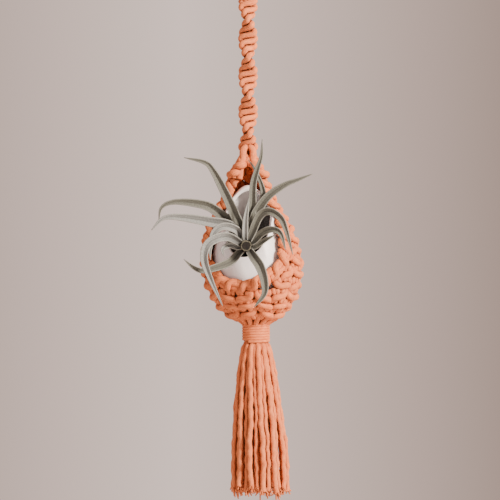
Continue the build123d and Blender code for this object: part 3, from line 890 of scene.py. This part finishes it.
def leaf(number, width, points, material):
    """A channelled leaf along its midrib, hollow towards the viewer, thin all over."""
    across, stations, thickness, channel, roundness = 8, 44, 0.0006, 0.75, 1.5
    line, marks = along_points(points, stations)
    share = marks / marks[-1]
    taper = np.interp(share, (0, 0.12, 0.3, 0.6, 0.85, 0.95, 1), (0.75, 0.95, 1, 0.76, 0.36, 0.16, 0.03))
    fold = channel * np.interp(share, (0, 0.7, 1), (1, 0.9, 0.4))
    ways = np.gradient(line, axis=0)
    ways /= np.linalg.norm(ways, axis=1)[:, None]
    edges = np.cross(ways, (0, -1, 0))
    edges /= np.linalg.norm(edges, axis=1)[:, None]
    out = np.cross(edges, ways)
    work = bmesh.new()
    bmesh.ops.create_grid(work, x_segments=across, y_segments=stations - 1, size=1)
    layer = work.loops.layers.uv.new("leaf")
    for face in work.faces:
        for corner in face.loops:
            corner[layer].uv = (corner.vert.co.x / 2 + 0.5, corner.vert.co.y / 2 + 0.5)
    for vertex in work.verts:
        spot, place = vertex.co.x, round((vertex.co.y + 1) / 2 * (stations - 1))
        half = width / 2 * taper[place]
        sunk = fold[place] * (1 - abs(spot) ** roundness)
        vertex.co = line[place] + half * (spot * edges[place] - sunk * out[place])
    bmesh.ops.recalc_face_normals(work, faces=work.faces)
    piece = made(f"leaf_blade_{number:02d}", work, material)
    blade = piece.modifiers.new("thickness", "SOLIDIFY")
    blade.thickness = thickness
    blade.offset = 0
    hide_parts(f"leaf_{number:02d}")
    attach(piece, "plant")


def stem_rim(heart):
    """The ring of old leaf bases round the end of the stem."""
    bead, ring, forward, uneven = 0.0006, 0.0033, 0.0152, 0.03
    work = bmesh.new()
    bmesh.ops.create_circle(work, segments=12, radius=bead)
    bmesh.ops.translate(work, vec=(ring, 0, 0), verts=work.verts)
    bmesh.ops.spin(
        work, geom=work.verts[:] + work.edges[:], cent=(0, 0, 0), axis=(0, 1, 0), dvec=(0, 0, 0),
        angle=2 * pi, steps=40, use_merge=True,
    )
    for vertex in work.verts:
        turn = np.arctan2(vertex.co.z, vertex.co.x)
        vertex.co *= 1 + uneven * (sin(4 * turn) + sin(9 * turn))
    bmesh.ops.translate(work, vec=heart - (0, forward, 0), verts=work.verts)
    bmesh.ops.recalc_face_normals(work, faces=work.faces)
    rim = made("stem_rim", work, dry_leaf_base("dry_leaf_base", "3B392D", "6A685A"))
    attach(rim, "plant")


def air_plant():
    spread, stem = 0.1, 0.0037
    heart = np.array([-0.0014, -0.024, -0.2056])
    green = scaly_leaf("scaly_leaf_green", "787A70", "3E3E35", "14130F")
    silver = scaly_leaf("scaly_leaf_silver", "A2A6A4", "616360", "22221F")
    silver_leaves = (9, 10, 11, 12, 15)
    for number, (width, places) in enumerate(leaf_shares, 1):
        points = [heart + spread * np.array([x, -y, z]) for x, y, z in places]
        x, y, z = places[0]
        seat = stem / spread / (x * x + z * z) ** 0.5
        foot = heart + spread * np.array([x * seat, -y, z * seat])
        leaf(number, width * spread, [foot] + points, silver if number in silver_leaves else green)
    stem_rim(heart)
    # The stem's end is coloured near black, a painted shade for the dark hole at the heart of the rosette.
    stem_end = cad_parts["plant_stem"].data.materials
    stem_end.clear()
    stem_end.append(dry_leaf_base("stem_end_painted_shade", "080604", "1E1912"))


air_plant()


# Stage: a pale floor of matt paint well under the hanging holder, and a wall that is the world itself,
# with painted light and shade: palest behind the holder and darker to the right.
def stage():
    floor_drop, floor_half = 0.62, 1.4
    work = bmesh.new()
    bmesh.ops.create_circle(work, cap_ends=True, segments=96, radius=floor_half)
    bmesh.ops.translate(work, vec=(0, 0, -floor_drop), verts=work.verts)
    material, tree, shader = new_material("matt_paint")
    shader.inputs["Base Color"].default_value = linear("D8D2CD")
    shader.inputs["Roughness"].default_value = 0.9
    made("floor", work, material)
    band = 0.12
    shades = (
        (0.0, "A8938A"), (0.15, "AE9990"), (0.41, "CEB9B0"), (0.69, "AA958C"), (0.86, "8E7A71"),
        (1.0, "B29D94"),
    )
    world = bpy.data.worlds.new("studio")
    bpy.context.scene.world = world
    world.use_nodes = True
    tree = world.node_tree
    way = add_node(tree, "ShaderNodeTexCoord", give="Generated")
    aside = add_node(tree, "ShaderNodeSeparateXYZ", {"Vector": way}, give="X")
    share = add_node(tree, "ShaderNodeMapRange", {"Value": aside, "From Min": -band, "From Max": band})
    # Painted light and shade on the wall: a pale band behind the holder, darker towards the right.
    wall = add_node(tree, "ShaderNodeValToRGB", {"Fac": share}, stops=shades)
    tree.links.new(wall, tree.nodes["Background"].inputs["Color"])
    tree.nodes["Background"].inputs["Strength"].default_value = 1.7


stage()


# Light: a broad soft key from the right and in front, and a weak fill from the left,
# both aimed at the middle of the pod.
def light(name, place, size, power, tone):
    aim = Vector((0, 0, -0.22))
    data = bpy.data.lights.new(name, "AREA")
    data.shape = "DISK"
    data.size = size
    data.energy = power
    data.color = linear(tone)[:3]
    lamp = in_scene(name, data)
    lamp.location = place
    lamp.rotation_euler = (Vector(place) - aim).to_track_quat("Z", "Y").to_euler()


light("key", (1.2, -1.0, 0.45), 0.4, 72, "FFF0E2")
light("fill", (-1.3, -1.0, 0.1), 1.0, 2, "EEF2FF")
